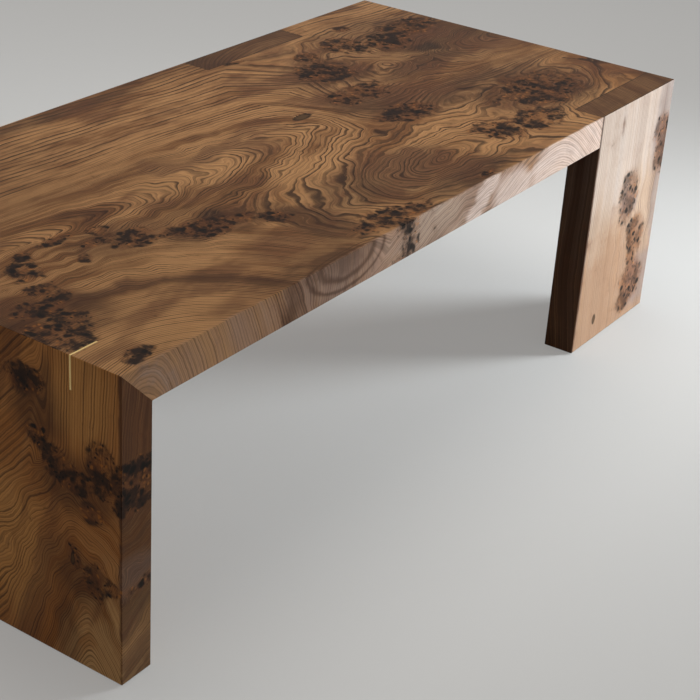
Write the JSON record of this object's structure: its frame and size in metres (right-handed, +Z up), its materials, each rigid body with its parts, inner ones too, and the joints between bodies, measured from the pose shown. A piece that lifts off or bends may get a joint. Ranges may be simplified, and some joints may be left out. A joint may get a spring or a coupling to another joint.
{
  "type": "coffee table",
  "caption": "Low table in thick burr elm: a slab top mitred to a full-width waterfall end panel with brass keys, its far end on plank legs let flush into the slab's edges.",
  "frame": {"origin": "on the floor, under the middle of the slab", "axes": "+X along the slab away from the waterfall end, +Y across it from the long edge that has the corner leg to the long edge that has the inset leg, +Z up"},
  "size_m": [1.2, 0.55, 0.365],
  "materials": {
    "top_slab_elm": "oiled satin",
    "end_panel_elm": "oiled satin",
    "front_leg_elm": "oiled satin",
    "back_leg_elm": "oiled satin",
    "beech": "bare",
    "brass": "sanded flush",
    "felt": "felt"
  },
  "bodies": {
    "root": {"back_leg": "back_leg_elm", "back_leg_end_tenon_1": "beech", "back_leg_end_tenon_2": "beech", "back_leg_glide_1": "felt", "back_leg_glide_2": "felt", "back_leg_tenon_1": "beech", "back_leg_tenon_2": "beech", "back_leg_tenon_3": "beech", "end_panel": "end_panel_elm", "end_panel_glide_1": "felt", "end_panel_glide_2": "felt", "end_panel_glide_3": "felt", "front_leg": "front_leg_elm", "front_leg_end_tenon_1": "beech", "front_leg_glide_1": "felt", "front_leg_glide_2": "felt", "front_leg_tenon_1": "beech", "front_leg_tenon_2": "beech", "front_leg_tenon_3": "beech", "mitre_key_1": "brass", "mitre_key_2": "brass", "mitre_key_3": "brass", "mitre_tenon_1": "beech", "mitre_tenon_2": "beech", "mitre_tenon_3": "beech", "mitre_tenon_4": "beech", "mitre_tenon_5": "beech", "mitre_tenon_6": "beech", "top_slab": "top_slab_elm"}
  },
  "joints": []
}
